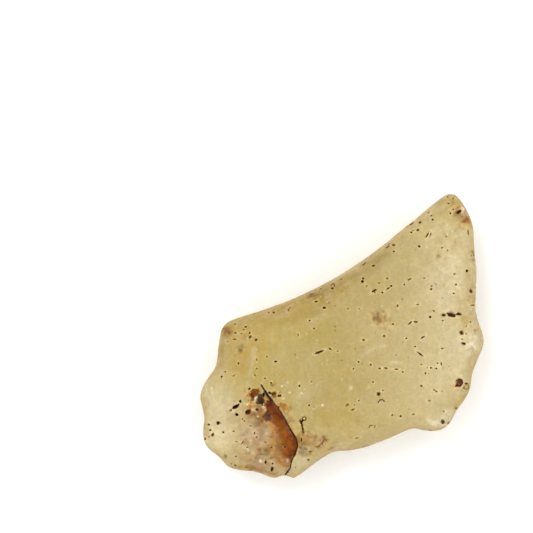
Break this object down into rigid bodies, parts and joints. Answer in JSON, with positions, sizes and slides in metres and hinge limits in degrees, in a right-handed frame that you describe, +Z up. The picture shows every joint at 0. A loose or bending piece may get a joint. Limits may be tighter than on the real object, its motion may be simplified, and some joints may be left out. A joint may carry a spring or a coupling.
{
  "type": "raw desert glass stone",
  "caption": "Flat worn piece of raw, frosted, pale yellow natural glass with a lobed rim, a fracture ledge and small open pits, lying on a flat.",
  "frame": {"origin": "middle of the bounding box seen from above, on the surface that the stone lies on", "axes": "+Z up through the stone's thickness, +X to the right and +Y away as the stone is seen from above with its tip at the upper right"},
  "size_m": [0.034, 0.034, 0.0104],
  "materials": {
    "desert_glass": "frosted, wind-worn, milky translucent, with brown stain in pits and along the ledge"
  },
  "bodies": {
    "root": {"desert_glass": "desert_glass"}
  },
  "joints": []
}
